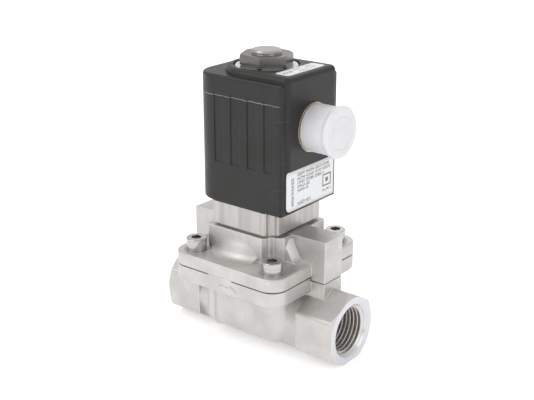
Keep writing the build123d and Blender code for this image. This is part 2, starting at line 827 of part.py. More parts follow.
def coil_bobbin():
    spool = ring(coil_bore_radius + bobbin_wall, coil_bore_radius, winding_low, winding_high)
    lower = ring(bobbin_flange_radius, coil_bore_radius, winding_low, winding_low + bobbin_flange_thickness)
    upper = ring(bobbin_flange_radius, coil_bore_radius,
                 winding_high - bobbin_flange_thickness, winding_high)
    return spool + lower + upper


def coil_winding():
    return ring(winding_radius, coil_bore_radius + bobbin_wall,
                winding_low + bobbin_flange_thickness, winding_high - bobbin_flange_thickness)


def top_washer():
    part = ring(disc_radius, stud_radius + hole_fit, disc_low, nut_low)
    return chamfer(part.edges().group_by(Axis.Z)[-1].sort_by(SortBy.RADIUS)[-1], disc_edge)


def coil_nut():
    prism = hexagon_prism(nut_flats, nut_low, nut_top, nut_turn)
    corner = nut_flats / sqrt(3) + hole_fit
    face = corner - nut_corner_cut
    turned = revolved([(0, nut_low), (face, nut_low), (corner, nut_low + nut_corner_drop),
                       (corner, nut_top - nut_corner_drop), (face, nut_top), (0, nut_top)])
    part = prism & turned
    part -= disc(stud_radius, nut_low - 1, nut_top + 1)
    return part - ring(nut_seal_radius, stud_radius - 1, nut_low - 1, nut_seal_top)


def nut_seal():
    return ring(nut_seal_radius, stud_radius + hole_fit, nut_low, nut_seal_top)


def connector_collar():
    return (rod_x(collar_radius, coil_front_x, coil_front_x + collar_thickness, z=connector_z)
            - rod_x(shell_radius, coil_front_x - 1, coil_front_x + 2, z=connector_z))


def connector_shell():
    start = coil_front_x - shell_root
    end = coil_front_x + shell_reach
    part = rod_x(shell_radius, start, end, z=connector_z)
    part = chamfer(part.edges().group_by(Axis.X)[-1], shell_lip)
    part -= rod_x(shell_radius - shell_wall, start - 1, end + 1, z=connector_z)
    return part


def connector_insert():
    inner = shell_radius - shell_wall
    part = rod_x(inner, coil_front_x - shell_root, coil_front_x + insert_reach, z=connector_z)
    for y, z in pin_places():
        part -= rod_x(pin_radius, coil_front_x - pin_root, coil_front_x + insert_reach + 1,
                      y, connector_z + z)
    return part


def pin_places():
    steps = [2 * pi * index / pin_count for index in range(pin_count)]
    return [(pin_circle * cos(step), pin_circle * sin(step)) for step in steps]


def contact_pins():
    pins = []
    for y, z in pin_places():
        pin = rod_x(pin_radius, coil_front_x - pin_root, coil_front_x + insert_reach + pin_reach,
                    y, connector_z + z)
        pins.append(fillet(pin.edges().group_by(Axis.X)[-1], pin_radius * 0.7))
    return pins


def protective_cap():
    start = coil_front_x + collar_thickness + cap_start_gap
    end = coil_front_x + cap_reach
    body = rod_x(cap_radius, start, end, z=connector_z)
    body = chamfer(body.edges().group_by(Axis.X)[0], cap_lip)
    flange = rod_x(cap_flange_radius, end - cap_flange_thickness, end, z=connector_z)
    flange = fillet(flange.edges(), cap_flange_rounding)
    return body + flange - rod_x(cap_bore_radius, start - 1, end - cap_end_thickness, z=connector_z)


def front_label():
    high = coil_low + front_label_high
    low = coil_low + front_label_low
    outline = RectangleRounded(2 * front_label_half_y, high - low, front_label_corner)
    outline = Pos(0, (low + high) / 2) * outline
    return extrude(Plane.YZ.offset(coil_front_x) * outline, label_thickness)


def top_label():
    return block(top_label_x, top_label_y, (core_top, core_top + label_thickness))


nodes = {
    "valve_body": valve_body,
    "cover": cover,
    "cover_screws": cover_screws,
    "screw_washers": screw_washers,
    "cover_seal": cover_seal,
    "channel_seals": channel_seals,
    "feed_jet": feed_jet,
    "piston": piston,
    "piston_ring": piston_ring,
    "piston_seat_seal": piston_seat_seal,
    "seal_retainer": seal_retainer,
    "seal_screw": seal_screw,
    "piston_spring": piston_spring,
    "pilot_seat": pilot_seat,
    "pilot_block": pilot_block,
    "block_screws": block_screws,
    "guide_tube": guide_tube,
    "tube_seal": tube_seal,
    "stopper": stopper,
    "shading_ring": shading_ring,
    "armature": armature,
    "armature_seal": armature_seal,
    "armature_spring": armature_spring,
    "coil_gasket": coil_gasket,
    "coil_housing": coil_housing,
    "magnet_frame": magnet_frame,
    "coil_bobbin": coil_bobbin,
    "coil_winding": coil_winding,
    "top_washer": top_washer,
    "coil_nut": coil_nut,
    "nut_seal": nut_seal,
    "connector_collar": connector_collar,
    "connector_shell": connector_shell,
    "connector_insert": connector_insert,
    "contact_pins": contact_pins,
    "protective_cap": protective_cap,
    "front_label": front_label,
    "top_label": top_label,
}

os.makedirs("parts", exist_ok=True)
for name, make in nodes.items():
    shape = make()
    if isinstance(shape, list):
        shape = Compound(children=shape)
    export_step(shape, f"parts/{name}.step")
    print(name, round(shape.volume, 1))
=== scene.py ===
import json
import math

import bmesh
import bpy
import numpy as np
from mathutils import Matrix, Vector


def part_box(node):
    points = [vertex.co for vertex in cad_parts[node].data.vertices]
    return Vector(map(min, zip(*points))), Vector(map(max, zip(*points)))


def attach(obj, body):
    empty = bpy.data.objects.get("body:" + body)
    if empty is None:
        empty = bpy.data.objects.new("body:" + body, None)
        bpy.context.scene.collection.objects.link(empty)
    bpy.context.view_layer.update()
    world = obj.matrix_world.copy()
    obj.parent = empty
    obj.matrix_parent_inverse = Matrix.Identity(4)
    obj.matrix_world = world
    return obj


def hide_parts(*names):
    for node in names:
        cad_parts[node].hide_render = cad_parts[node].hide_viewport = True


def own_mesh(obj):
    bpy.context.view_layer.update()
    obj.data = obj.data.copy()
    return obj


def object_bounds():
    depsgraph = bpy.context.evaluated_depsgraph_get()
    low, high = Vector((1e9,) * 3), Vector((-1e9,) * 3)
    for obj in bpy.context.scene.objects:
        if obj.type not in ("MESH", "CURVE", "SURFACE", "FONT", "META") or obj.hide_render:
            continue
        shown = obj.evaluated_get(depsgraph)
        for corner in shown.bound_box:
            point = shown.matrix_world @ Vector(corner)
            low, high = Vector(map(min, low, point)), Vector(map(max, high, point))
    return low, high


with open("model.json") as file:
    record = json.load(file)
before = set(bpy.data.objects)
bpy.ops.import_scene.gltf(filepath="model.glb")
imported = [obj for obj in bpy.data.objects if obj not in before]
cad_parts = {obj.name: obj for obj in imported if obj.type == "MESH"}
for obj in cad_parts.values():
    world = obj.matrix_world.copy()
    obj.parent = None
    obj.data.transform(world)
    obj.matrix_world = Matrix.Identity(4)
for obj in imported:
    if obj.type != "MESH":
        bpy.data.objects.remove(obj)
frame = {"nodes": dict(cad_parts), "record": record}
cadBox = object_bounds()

# Solenoid valve. X runs along the flow, Z is up, and everything is in metres.
mm = 0.001
nodes = frame["nodes"]
scene = bpy.context.scene


def placeOf(mountName):
    return next(m for m in frame["record"]["mounts"] if m["name"] == mountName)


def meshObject(name, points, faces, material, body, smooth=True):
    mesh = bpy.data.meshes.new(name)
    mesh.from_pydata(points.reshape(-1, 3).tolist(), [], faces.tolist())
    finishMesh(mesh, smooth)
    piece = bpy.data.objects.new(name, mesh)
    scene.collection.objects.link(piece)
    piece.data.materials.append(material)
    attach(piece, body)
    return piece


def finishMesh(mesh, smooth):
    # doubled points at poles are merged, then every face is turned outwards
    work = bmesh.new()
    work.from_mesh(mesh)
    bmesh.ops.remove_doubles(work, verts=work.verts, dist=1e-7)
    bmesh.ops.recalc_face_normals(work, faces=work.faces)
    work.to_mesh(mesh)
    work.free()
    mesh.polygons.foreach_set("use_smooth", np.full(len(mesh.polygons), smooth))


def gridFaces(rows, columns, wrapRows=False, wrapColumns=True):
    # each point is joined to its neighbours along both directions of the grid
    index = np.arange(rows * columns).reshape(rows, columns)
    index = np.vstack([index, index[:1]]) if wrapRows else index
    index = np.hstack([index, index[:, :1]]) if wrapColumns else index
    corners = [index[:-1, :-1], index[:-1, 1:], index[1:, 1:], index[1:, :-1]]
    return np.stack(corners, -1).reshape(-1, 4)


def softOutline(corners, steps=6):
    # each corner is (across, along, radius); a corner with a radius becomes an arc that meets both sides
    outline = []
    count = len(corners)
    for number, (across, along, radius) in enumerate(corners):
        here = np.array([across, along], float)
        if radius <= 0 or number in (0, count - 1):
            outline.append(here)
            continue
        before = np.array(corners[number - 1][:2], float) - here
        after = np.array(corners[number + 1][:2], float) - here
        before, after = before / np.linalg.norm(before), after / np.linalg.norm(after)
        half = math.acos(max(-1.0, min(1.0, float(before @ after)))) / 2
        middle = (before + after) / np.linalg.norm(before + after)
        centre = here + middle * radius / math.sin(half)
        start = here + before * radius / math.tan(half) - centre
        end = here + after * radius / math.tan(half) - centre
        turn = math.pi - 2 * half
        for share in np.linspace(0, 1, steps + 1):
            arc = (math.sin((1 - share) * turn) * start + math.sin(share * turn) * end) / math.sin(turn)
            outline.append(centre + arc)
    return np.array(outline)


def turnedPiece(name, corners, centre, material, body, segments):
    # the outline is carried round the X axis: place = centre + (along, across * cos, across * sin)
    outline = softOutline(corners)
    angle = np.linspace(0, 2 * math.pi, segments, endpoint=False)
    across, along = outline[:, :1], outline[:, 1:] * np.ones((1, segments))
    points = np.stack([along, across * np.cos(angle), across * np.sin(angle)], -1) + np.array(centre)
    return meshObject(name, points, gridFaces(len(outline), segments), material, body)


def newMaterial(name):
    material = bpy.data.materials.new(name)
    material.use_nodes = True
    tree = material.node_tree
    tree.nodes.clear()
    output = tree.nodes.new("ShaderNodeOutputMaterial")
    shader = tree.nodes.new("ShaderNodeBsdfPrincipled")
    tree.links.new(shader.outputs["BSDF"], output.inputs["Surface"])
    return material, tree, shader


def newGroup(name, inputs, outputs):
    tree = bpy.data.node_groups.new(name, "ShaderNodeTree")
    for label, kind, value in inputs:
        socket = tree.interface.new_socket(name=label, in_out="INPUT", socket_type=kind)
        if value is not None:
            socket.default_value = value
    for label, kind in outputs:
        tree.interface.new_socket(name=label, in_out="OUTPUT", socket_type=kind)
    return tree, tree.nodes.new("NodeGroupInput"), tree.nodes.new("NodeGroupOutput")


def feed(tree, socket, value):
    if isinstance(value, bpy.types.NodeSocket):
        tree.links.new(value, socket)
    elif value is not None:
        socket.default_value = value


def calculate(tree, operation, first, second=None, third=None):
    node = tree.nodes.new("ShaderNodeMath")
    node.operation = operation
    for socket, value in zip(node.inputs, (first, second, third)):
        feed(tree, socket, value)
    return node.outputs[0]


def noiseValue(tree, vector, scale, detail=2.0, roughness=0.5):
    node = tree.nodes.new("ShaderNodeTexNoise")
    feed(tree, node.inputs["Vector"], vector)
    feed(tree, node.inputs["Scale"], scale)
    node.inputs["Detail"].default_value = detail
    node.inputs["Roughness"].default_value = roughness
    return node.outputs["Fac"]


def remap(tree, value, low, high, outLow, outHigh):
    node = tree.nodes.new("ShaderNodeMapRange")
    node.interpolation_type = "SMOOTHSTEP"
    for socket, item in zip(node.inputs, (value, low, high, outLow, outHigh)):
        feed(tree, socket, item)
    return node.outputs["Result"]


def mixColour(tree, share, first, second):
    node = tree.nodes.new("ShaderNodeMix")
    node.data_type = "RGBA"
    feed(tree, node.inputs[0], share)
    feed(tree, node.inputs[6], first)
    feed(tree, node.inputs[7], second)
    return node.outputs[2]


def mixValue(tree, share, first, second):
    node = tree.nodes.new("ShaderNodeMix")
    node.data_type = "FLOAT"
    feed(tree, node.inputs[0], share)
    feed(tree, node.inputs[2], first)
    feed(tree, node.inputs[3], second)
    return node.outputs[0]


def objectPlace(tree):
    return tree.nodes.new("ShaderNodeTexCoord").outputs["Object"]


def splitPlace(tree, vector):
    node = tree.nodes.new("ShaderNodeSeparateXYZ")
    feed(tree, node.inputs[0], vector)
    return node.outputs


def stretched(tree, vector, scale):
    node = tree.nodes.new("ShaderNodeMapping")
    feed(tree, node.inputs["Vector"], vector)
    node.inputs["Scale"].default_value = scale
    return node.outputs["Vector"]


def bumped(tree, height, distance, strength=1.0, normal=None):
    node = tree.nodes.new("ShaderNodeBump")
    node.inputs["Strength"].default_value = strength
    node.inputs["Distance"].default_value = distance
    feed(tree, node.inputs["Height"], height)
    feed(tree, node.inputs["Normal"], normal)
    return node.outputs["Normal"]


def grey(value, warmth=0.0):
    return (value * (1 + warmth), value, value * (1 - warmth), 1.0)


def makeEdgeGroup():
    # a rounded normal close to sharp edges, and a mask of how far it turns from the true one
    tree, start, end = newGroup("softEdges", [("Radius", "NodeSocketFloat", 0.3 * mm)],
                                [("Normal", "NodeSocketVector"), ("Edge", "NodeSocketFloat")])
    bevel = tree.nodes.new("ShaderNodeBevel")
    bevel.samples = 6
    tree.links.new(start.outputs["Radius"], bevel.inputs["Radius"])
    true = tree.nodes.new("ShaderNodeNewGeometry")
    dot = tree.nodes.new("ShaderNodeVectorMath")
    dot.operation = "DOT_PRODUCT"
    tree.links.new(bevel.outputs["Normal"], dot.inputs[0])
    tree.links.new(true.outputs["Normal"], dot.inputs[1])
    tree.links.new(bevel.outputs["Normal"], end.inputs["Normal"])
    tree.links.new(remap(tree, dot.outputs["Value"], 0.995, 0.85, 0.0, 1.0), end.inputs["Edge"])
    return tree


def makeGrainGroup():
    # blasted casting skin: fine pits over broad soft hollows, and slow cloudy patches
    tree, start, end = newGroup("castGrain",
                                [("Place", "NodeSocketVector", None), ("Pits", "NodeSocketFloat", 1900.0)],
                                [("Height", "NodeSocketFloat"), ("Cloud", "NodeSocketFloat")])
    place = start.outputs["Place"]
    fine = noiseValue(tree, place, start.outputs["Pits"], 3.0, 0.6)
    broad = noiseValue(tree, place, 260.0, 2.0, 0.5)
    height = calculate(tree, "MULTIPLY_ADD", broad, 1.4, calculate(tree, "MULTIPLY", fine, 0.6))
    tree.links.new(height, end.inputs["Height"])
    tree.links.new(noiseValue(tree, place, 95.0, 3.0, 0.55), end.inputs["Cloud"])
    return tree


def makeBrushGroup():
    # tool lines: noise drawn out along one direction by the scale given to its place
    tree, start, end = newGroup("toolLines", [("Place", "NodeSocketVector", None)],
                                [("Height", "NodeSocketFloat"), ("Streak", "NodeSocketFloat")])
    place = start.outputs["Place"]
    tree.links.new(noiseValue(tree, place, 1.0, 4.0, 0.7), end.inputs["Height"])
    tree.links.new(noiseValue(tree, place, 0.35, 2.0, 0.5), end.inputs["Streak"])
    return tree


def makeScuffGroup():
    # thin crossing scuffs: two turned sets of stretched noise, kept only at their peaks
    tree, start, end = newGroup("scuffs",
                                [("Place", "NodeSocketVector", None), ("Amount", "NodeSocketFloat", 0.5)],
                                [("Mask", "NodeSocketFloat")])
    total = None
    for turn, stretch in ((0.5, (900.0, 40.0, 60.0)), (-0.9, (50.0, 60.0, 1100.0))):
        node = tree.nodes.new("ShaderNodeMapping")
        tree.links.new(start.outputs["Place"], node.inputs["Vector"])
        node.inputs["Rotation"].default_value = (turn, turn / 2, turn)
        node.inputs["Scale"].default_value = stretch
        streak = remap(tree, noiseValue(tree, node.outputs["Vector"], 1.0, 2.0, 0.4), 0.66, 0.74, 0.0, 1.0)
        total = streak if total is None else calculate(tree, "MAXIMUM", total, streak)
    patches = remap(tree, noiseValue(tree, start.outputs["Place"], 120.0, 2.0, 0.5), 0.5, 0.62, 0.0, 1.0)
    mask = calculate(tree, "MULTIPLY", calculate(tree, "MULTIPLY", total, patches), start.outputs["Amount"])
    tree.links.new(mask, end.inputs["Mask"])
    return tree


softEdges = makeEdgeGroup()
castGrain = makeGrainGroup()
toolLines = makeBrushGroup()
scuffs = makeScuffGroup()


def useGroup(tree, group, **values):
    node = tree.nodes.new("ShaderNodeGroup")
    node.node_tree = group
    for label, value in values.items():
        feed(tree, node.inputs[label], value)
    return node.outputs


# edge is the pale colour of the painted highlight along sharp edges, and of the real scuffs
castLook = {"dark": grey(0.53, 0.028), "light": grey(0.585, 0.022), "edge": grey(0.74, 0.014),
            "roughLow": 0.40, "roughHigh": 0.50, "metallic": 0.85, "wear": 0.35,
            "grainDepth": 0.022 * mm, "grainStrength": 0.8, "edgeRadius": 0.5 * mm}
turnedLook = {"colour": (0.63, 0.64, 0.67, 1.0), "roughness": 0.24, "endDepth": 0.15 * mm,
              "boreRadius": 11.6 * mm, "boreStart": 26 * mm, "ringPitch": 0.22 * mm, "ringHeight": 0.12}


def makeCastSteel(name, machinedEnds=False):
    material, tree, shader = newMaterial(name)
    place = objectPlace(tree)
    edges = useGroup(tree, softEdges, Radius=castLook["edgeRadius"])
    grain = useGroup(tree, castGrain, Place=place)
    wear = useGroup(tree, scuffs, Place=place, Amount=castLook["wear"])
    patches = remap(tree, grain["Cloud"], 0.35, 0.65, 0.0, 1.0)
    colour = mixColour(tree, patches, castLook["dark"], castLook["light"])
    # painted highlight: sharp edges take the pale edge colour, and so do the real scuffs
    scuffsAndEdgeHighlight = calculate(tree, "MAXIMUM", edges["Edge"], wear["Mask"])
    colour = mixColour(tree, scuffsAndEdgeHighlight, colour, castLook["edge"])
    rough = remap(tree, grain["Cloud"], 0.3, 0.7, castLook["roughHigh"], castLook["roughLow"])
    height = grain["Height"]
    if machinedEnds:
        # end faces of the ports, their countersinks and bores are turned, with rings about the port axis
        x, y, z = splitPlace(tree, place)
        axisHeight = placeOf("outlet")["pos_m"][2]
        up = calculate(tree, "SUBTRACT", z, axisHeight)
        squared = calculate(tree, "MULTIPLY_ADD", y, y, calculate(tree, "MULTIPLY", up, up))
        radius = calculate(tree, "SQRT", squared)
        fromMiddle = calculate(tree, "ABSOLUTE", x)
        farOut = calculate(tree, "GREATER_THAN", fromMiddle, cadBox[1][0] - turnedLook["endDepth"])
        inside = calculate(tree, "MULTIPLY", calculate(tree, "LESS_THAN", radius, turnedLook["boreRadius"]),
                           calculate(tree, "GREATER_THAN", fromMiddle, turnedLook["boreStart"]))
        turned = calculate(tree, "MAXIMUM", farOut, inside)
        colour = mixColour(tree, turned, colour, turnedLook["colour"])
        phase = calculate(tree, "MULTIPLY", radius, 2 * math.pi / turnedLook["ringPitch"])
        rings = calculate(tree, "MULTIPLY", calculate(tree, "SINE", phase), turnedLook["ringHeight"])
        height = mixValue(tree, turned, height, rings)
        rough = mixValue(tree, turned, rough, turnedLook["roughness"])
    tree.links.new(colour, shader.inputs["Base Color"])
    tree.links.new(rough, shader.inputs["Roughness"])
    shader.inputs["Metallic"].default_value = castLook["metallic"]
    normal = bumped(tree, height, castLook["grainDepth"], castLook["grainStrength"], edges["Normal"])
    tree.links.new(normal, shader.inputs["Normal"])
    return material


# edgeLift brightens the painted highlight on sharp edges, and the real scuffs
machinedLook = {"edgeRadius": 0.2 * mm, "wear": 0.3, "edgeLift": 1.18, "roughest": 1.2, "smoothest": 0.85,
                "lineStrength": 0.7}


def makeMachined(name, dark, light, stretch, roughness, depth):
    # metal with tool lines, which run along the axis that has the smallest number in stretch
    look = machinedLook
    material, tree, shader = newMaterial(name)
    place = objectPlace(tree)
    edges = useGroup(tree, softEdges, Radius=look["edgeRadius"])
    lines = useGroup(tree, toolLines, Place=stretched(tree, place, stretch))
    wear = useGroup(tree, scuffs, Place=place, Amount=look["wear"])
    colour = mixColour(tree, remap(tree, lines["Streak"], 0.3, 0.7, 0.0, 1.0), dark, light)
    # painted highlight: sharp edges are lifted to a brighter colour, which the real scuffs share
    bright = tuple(min(1.0, part * look["edgeLift"]) for part in light[:3]) + (1.0,)
    colour = mixColour(tree, calculate(tree, "MAXIMUM", edges["Edge"], wear["Mask"]), colour, bright)
    rough = remap(tree, lines["Streak"], 0.3, 0.7, roughness * look["roughest"],
                  roughness * look["smoothest"])
    tree.links.new(colour, shader.inputs["Base Color"])
    tree.links.new(rough, shader.inputs["Roughness"])
    shader.inputs["Metallic"].default_value = 1.0
    normal = bumped(tree, lines["Height"], depth, look["lineStrength"], edges["Normal"])
    tree.links.new(normal, shader.inputs["Normal"])
    return material


mouldedLook = {"toneScale": 70.0, "roughScale": 140.0, "wear": 0.35, "edgeHighlightShare": 0.35, "roughest": 1.15,
               "smoothest": 0.88, "grainStrength": 0.6, "lightDepth": 2.0 * mm}


def makeMoulded(name, dark, light, roughness, grainScale, depth, edgeRadius=0.2 * mm, scuffAndEdgeHighlightColour=None,
                subsurface=0.0, specular=0.5):
    # moulded plastic or rubber: fine grain, a slow drift of tone, pale scuffs, and a painted highlight along
    # sharp edges
    look = mouldedLook
    material, tree, shader = newMaterial(name)
    place = objectPlace(tree)
    edges = useGroup(tree, softEdges, Radius=edgeRadius)
    wear = useGroup(tree, scuffs, Place=place, Amount=look["wear"])
    tone = remap(tree, noiseValue(tree, place, look["toneScale"], 3.0, 0.6), 0.35, 0.65, 0.0, 1.0)
    colour = mixColour(tree, tone, dark, light)
    if scuffAndEdgeHighlightColour is not None:
        # painted highlight: part of the edge mask takes the pale colour, together with the real scuffs
        paintedEdgeHighlight = calculate(tree, "MULTIPLY", edges["Edge"], look["edgeHighlightShare"])
        colour = mixColour(tree, calculate(tree, "MAXIMUM", paintedEdgeHighlight, wear["Mask"]), colour, scuffAndEdgeHighlightColour)
    fine = noiseValue(tree, place, grainScale, 2.0, 0.6)
    rough = remap(tree, noiseValue(tree, place, look["roughScale"], 3.0, 0.6), 0.3, 0.7,
                  roughness * look["smoothest"], roughness * look["roughest"])
    tree.links.new(colour, shader.inputs["Base Color"])
    tree.links.new(rough, shader.inputs["Roughness"])
    shader.inputs["Specular IOR Level"].default_value = specular
    shader.inputs["Subsurface Weight"].default_value = subsurface
    shader.inputs["Subsurface Radius"].default_value = (1.0, 1.0, 1.0)
    shader.inputs["Subsurface Scale"].default_value = look["lightDepth"]
    normal = bumped(tree, fine, depth, look["grainStrength"], edges["Normal"])
    tree.links.new(normal, shader.inputs["Normal"])
    return material


castSteel = makeCastSteel("castSteel")
castBodySteel = makeCastSteel("castBodySteel", machinedEnds=True)

# each metal has a dark and a light tone, a stretch for its tool lines, a roughness and a depth of line
metalFinishes = {
    "milledSteel": (grey(0.45, 0.034), grey(0.50, 0.028), (1500.0, 1500.0, 50.0), 0.42, 0.006 * mm),
    "nutSteel": (grey(0.14, 0.05), grey(0.19, 0.04), (60.0, 60.0, 3000.0), 0.32, 0.008 * mm),
    "brightSteel": (grey(0.44, 0.025), grey(0.52, 0.018), (120.0, 120.0, 3200.0), 0.22, 0.004 * mm),
    "washerSteel": (grey(0.62, 0.015), grey(0.74, 0.01), (2200.0, 60.0, 60.0), 0.26, 0.004 * mm),
    "magnetSteel": (grey(0.36, 0.02), grey(0.42, 0.015), (80.0, 80.0, 3400.0), 0.28, 0.004 * mm),
    "springSteel": (grey(0.40, 0.01), grey(0.62, 0.01), (600.0, 600.0, 600.0), 0.25, 0.004 * mm),
    "turnedBrass": ((0.58, 0.42, 0.20, 1), (0.76, 0.58, 0.30, 1), (2600.0, 60.0, 60.0), 0.26, 0.006 * mm),
    "collarMetal": ((0.62, 0.53, 0.40, 1), (0.78, 0.70, 0.56, 1), (2600.0, 60.0, 60.0), 0.24, 0.004 * mm),
    "threadSteel": (grey(0.56, 0.05), grey(0.66, 0.03), (2400.0, 90.0, 90.0), 0.40, 0.006 * mm),
    "enamelledCopper": ((0.42, 0.14, 0.06, 1), (0.66, 0.27, 0.12, 1), (20.0, 20.0, 5200.0), 0.28, 0.03 * mm),
    "platedContact": ((0.72, 0.52, 0.22, 1), (0.90, 0.70, 0.34, 1), (3000.0, 90.0, 90.0), 0.16, 0.003 * mm),
}
metals = {name: makeMachined(name, *finish) for name, finish in metalFinishes.items()}

# the last colour given to coilBlack, sealRubber and insertGrey is for their scuffs and for the painted
# highlight on their edges
coilBlack = makeMoulded("coilBlack", grey(0.013, 0.08), grey(0.019, 0.0), 0.40, 5200.0, 0.008 * mm,
                        0.35 * mm, grey(0.07, 0.02), specular=0.36)
sealRubber = makeMoulded("sealRubber", grey(0.012), grey(0.022), 0.62, 4200.0, 0.012 * mm, 0.1 * mm,
                         grey(0.05))
bobbinNylon = makeMoulded("bobbinNylon", grey(0.22, 0.06), grey(0.30, 0.08), 0.45, 3500.0, 0.010 * mm)
insertGrey = makeMoulded("insertGrey", grey(0.05), grey(0.075), 0.45, 3800.0, 0.010 * mm, 0.2 * mm,
                         grey(0.2))
bearingWhite = makeMoulded("bearingWhite", grey(0.70, 0.02), grey(0.80, 0.015), 0.45, 2600.0, 0.008 * mm)
capWhite = makeMoulded("capWhite", (0.66, 0.665, 0.69, 1), (0.71, 0.712, 0.73, 1), 0.38, 1500.0, 0.012 * mm,
                       0.4 * mm, None, 0.35)
# painted highlight: the flash ridge is coloured pale to stand for the light it catches
flashHighlight = makeMoulded("flashHighlight", grey(0.16, 0.02), grey(0.30, 0.02), 0.5, 4200.0, 0.004 * mm,
                        0.05 * mm)


def uvPlace(tree):
    return tree.nodes.new("ShaderNodeUVMap").outputs["UV"]


def inBox(tree, across, along, box):
    # one inside the box (low across, high across, low along, high along), nought outside it
    left, right, low, high = box
    first = calculate(tree, "COMPARE", across, (left + right) / 2, (right - left) / 2)
    second = calculate(tree, "COMPARE", along, (low + high) / 2, (high - low) / 2)
    return calculate(tree, "MULTIPLY", first, second)


foilLook = {"dark": (0.72, 0.73, 0.75, 1), "light": (0.77, 0.78, 0.80, 1), "ink": (0.03, 0.03, 0.035, 1),
            "inkShare": 0.86, "gapShare": 0.22, "roughLow": 0.30, "roughHigh": 0.38, "crinkle": 0.02 * mm}


def makePrinted(name, rows, boxes, frames, glyphScale):
    # satin white foil; rows are runs of meaningless marks, boxes are solid, frames are thin outlines
    material, tree, shader = newMaterial(name)
    place = uvPlace(tree)
    across, along = splitPlace(tree, place)[:2]
    glyph = noiseValue(tree, stretched(tree, place, glyphScale), 1.0, 2.0, 0.7)
    gapPlace = stretched(tree, place, (glyphScale[0] * foilLook["gapShare"], 0.0, 0.0))
    gaps = noiseValue(tree, gapPlace, 1.0, 0.0, 0.0)
    marks = calculate(tree, "MULTIPLY", remap(tree, glyph, 0.47, 0.53, 0.0, 1.0),
                      remap(tree, gaps, 0.36, 0.40, 0.0, 1.0))
    ink = 0.0
    for box in rows:
        row = calculate(tree, "MULTIPLY", inBox(tree, across, along, box), marks)
        ink = calculate(tree, "MAXIMUM", ink, row)
    for box in boxes:
        ink = calculate(tree, "MAXIMUM", ink, inBox(tree, across, along, box))
    for left, right, low, high, line in frames:
        outer = inBox(tree, across, along, (left, right, low, high))
        inner = inBox(tree, across, along, (left + line, right - line, low + line, high - line))
        ink = calculate(tree, "MAXIMUM", ink, calculate(tree, "SUBTRACT", outer, inner))
    cloud = noiseValue(tree, place, 0.35, 3.0, 0.6)
    foil = mixColour(tree, cloud, foilLook["dark"], foilLook["light"])
    inked = calculate(tree, "MULTIPLY", ink, foilLook["inkShare"])
    rough = remap(tree, cloud, 0.3, 0.7, foilLook["roughLow"], foilLook["roughHigh"])
    tree.links.new(mixColour(tree, inked, foil, foilLook["ink"]), shader.inputs["Base Color"])
    tree.links.new(rough, shader.inputs["Roughness"])
    tree.links.new(bumped(tree, cloud, foilLook["crinkle"], 0.4), shader.inputs["Normal"])
    return material


# label places are in millimetres along the foil and up it
frontPrint = makePrinted("frontPrint",
                         [(-9.8, 11.6, 13.5, 14.8), (-9.8, 12.4, 11.8, 13.1), (-9.8, 8.0, 10.1, 11.4),
                          (-9.8, -1.6, 8.4, 9.7), (-9.8, -2.4, 6.9, 8.0), (-9.8, -0.8, 1.3, 3.0),
                          (6.8, 13.2, 2.4, 3.6), (-13.6, -12.0, 1.8, 13.6)],
                         [(9.2, 11.0, 6.3, 8.1)], [(7.2, 13.0, 4.6, 9.8, 0.6)], (1.6, 2.0, 1.0))
topPrint = makePrinted("topPrint", [(-11.0, -5.2, 2.6, 4.4), (-3.4, 2.8, 1.2, 2.6), (-3.4, 1.6, 4.0, 5.4)],
                       [], [(4.4, 7.6, 1.8, 5.0, 0.45)], (1.4, 1.8, 1.0))
print("materials ready")


# female thread in each port: one ridge winds round the bore, worn away where it meets the mouth's cone
threadLook = {"crest": 9.315 * mm, "root": 10.44 * mm, "pitch": 1.814 * mm, "mouth": 11.5 * mm,
              "depth": 14.9 * mm, "backing": 0.02 * mm, "rowsPerTurn": 14, "segments": 144, "fullness": 1.25}


def makeThread(name, mountName, side):
    # radius = root less a rounded ridge, whose phase is (depth / pitch - angle / full turn),
    # and never inside the mouth's cone
    look = threadLook
    mount = placeOf(mountName)["pos_m"]
    first = look["mouth"] - look["root"]
    turns = (look["depth"] - first) / look["pitch"]
    depth = np.linspace(first, look["depth"], int(turns * look["rowsPerTurn"]))[:, None]
    angle = np.linspace(0, 2 * math.pi, look["segments"], endpoint=False)
    phase = depth / look["pitch"] - side * angle / (2 * math.pi)
    wave = np.clip(0.5 + 0.5 * look["fullness"] * np.cos(2 * math.pi * phase), 0, 1)
    radius = look["root"] - (look["root"] - look["crest"]) * wave
    radius = np.clip(np.maximum(radius, look["mouth"] - depth), None, look["root"])
    outer = np.full((2, look["segments"]), look["root"] + look["backing"])
    radius = np.vstack([radius, outer])
    depth = np.vstack([depth, [[look["depth"]], [first]]]) * np.ones(look["segments"])
    mouthPlace = side * cadBox[1][0]
    points = np.stack([mouthPlace - side * depth, mount[1] + radius * np.cos(angle),
                       mount[2] + radius * np.sin(angle)], -1)
    return meshObject(name, points, gridFaces(*points.shape[:2], wrapRows=True),
                      metals["threadSteel"], "valve")


makeThread("inlet_thread", "inlet", -1)
makeThread("outlet_thread", "outlet", 1)
print("threads cut")


# soft cap: a thin cup with a rolled flange, a neck groove and a shallow ring on its end
capLook = {"wall": 0.7 * mm, "end": 1.3 * mm, "flange": 2.3 * mm, "step": 0.8 * mm, "rolled": 0.85 * mm,
           "neck": 0.18 * mm, "neckTop": 0.3 * mm, "neckLow": 1.3 * mm, "neckFoot": 1.9 * mm,
           "underFlange": 0.35 * mm, "neckRound": 0.3 * mm, "ring": 6.4 * mm, "ringWidth": 0.5 * mm,
           "ringDepth": 0.14 * mm, "ringSlope": 0.12 * mm, "ringEdge": 0.2 * mm, "ringFoot": 0.1 * mm,
           "lip": 0.25 * mm, "innerRound": 0.5 * mm, "segments": 144}


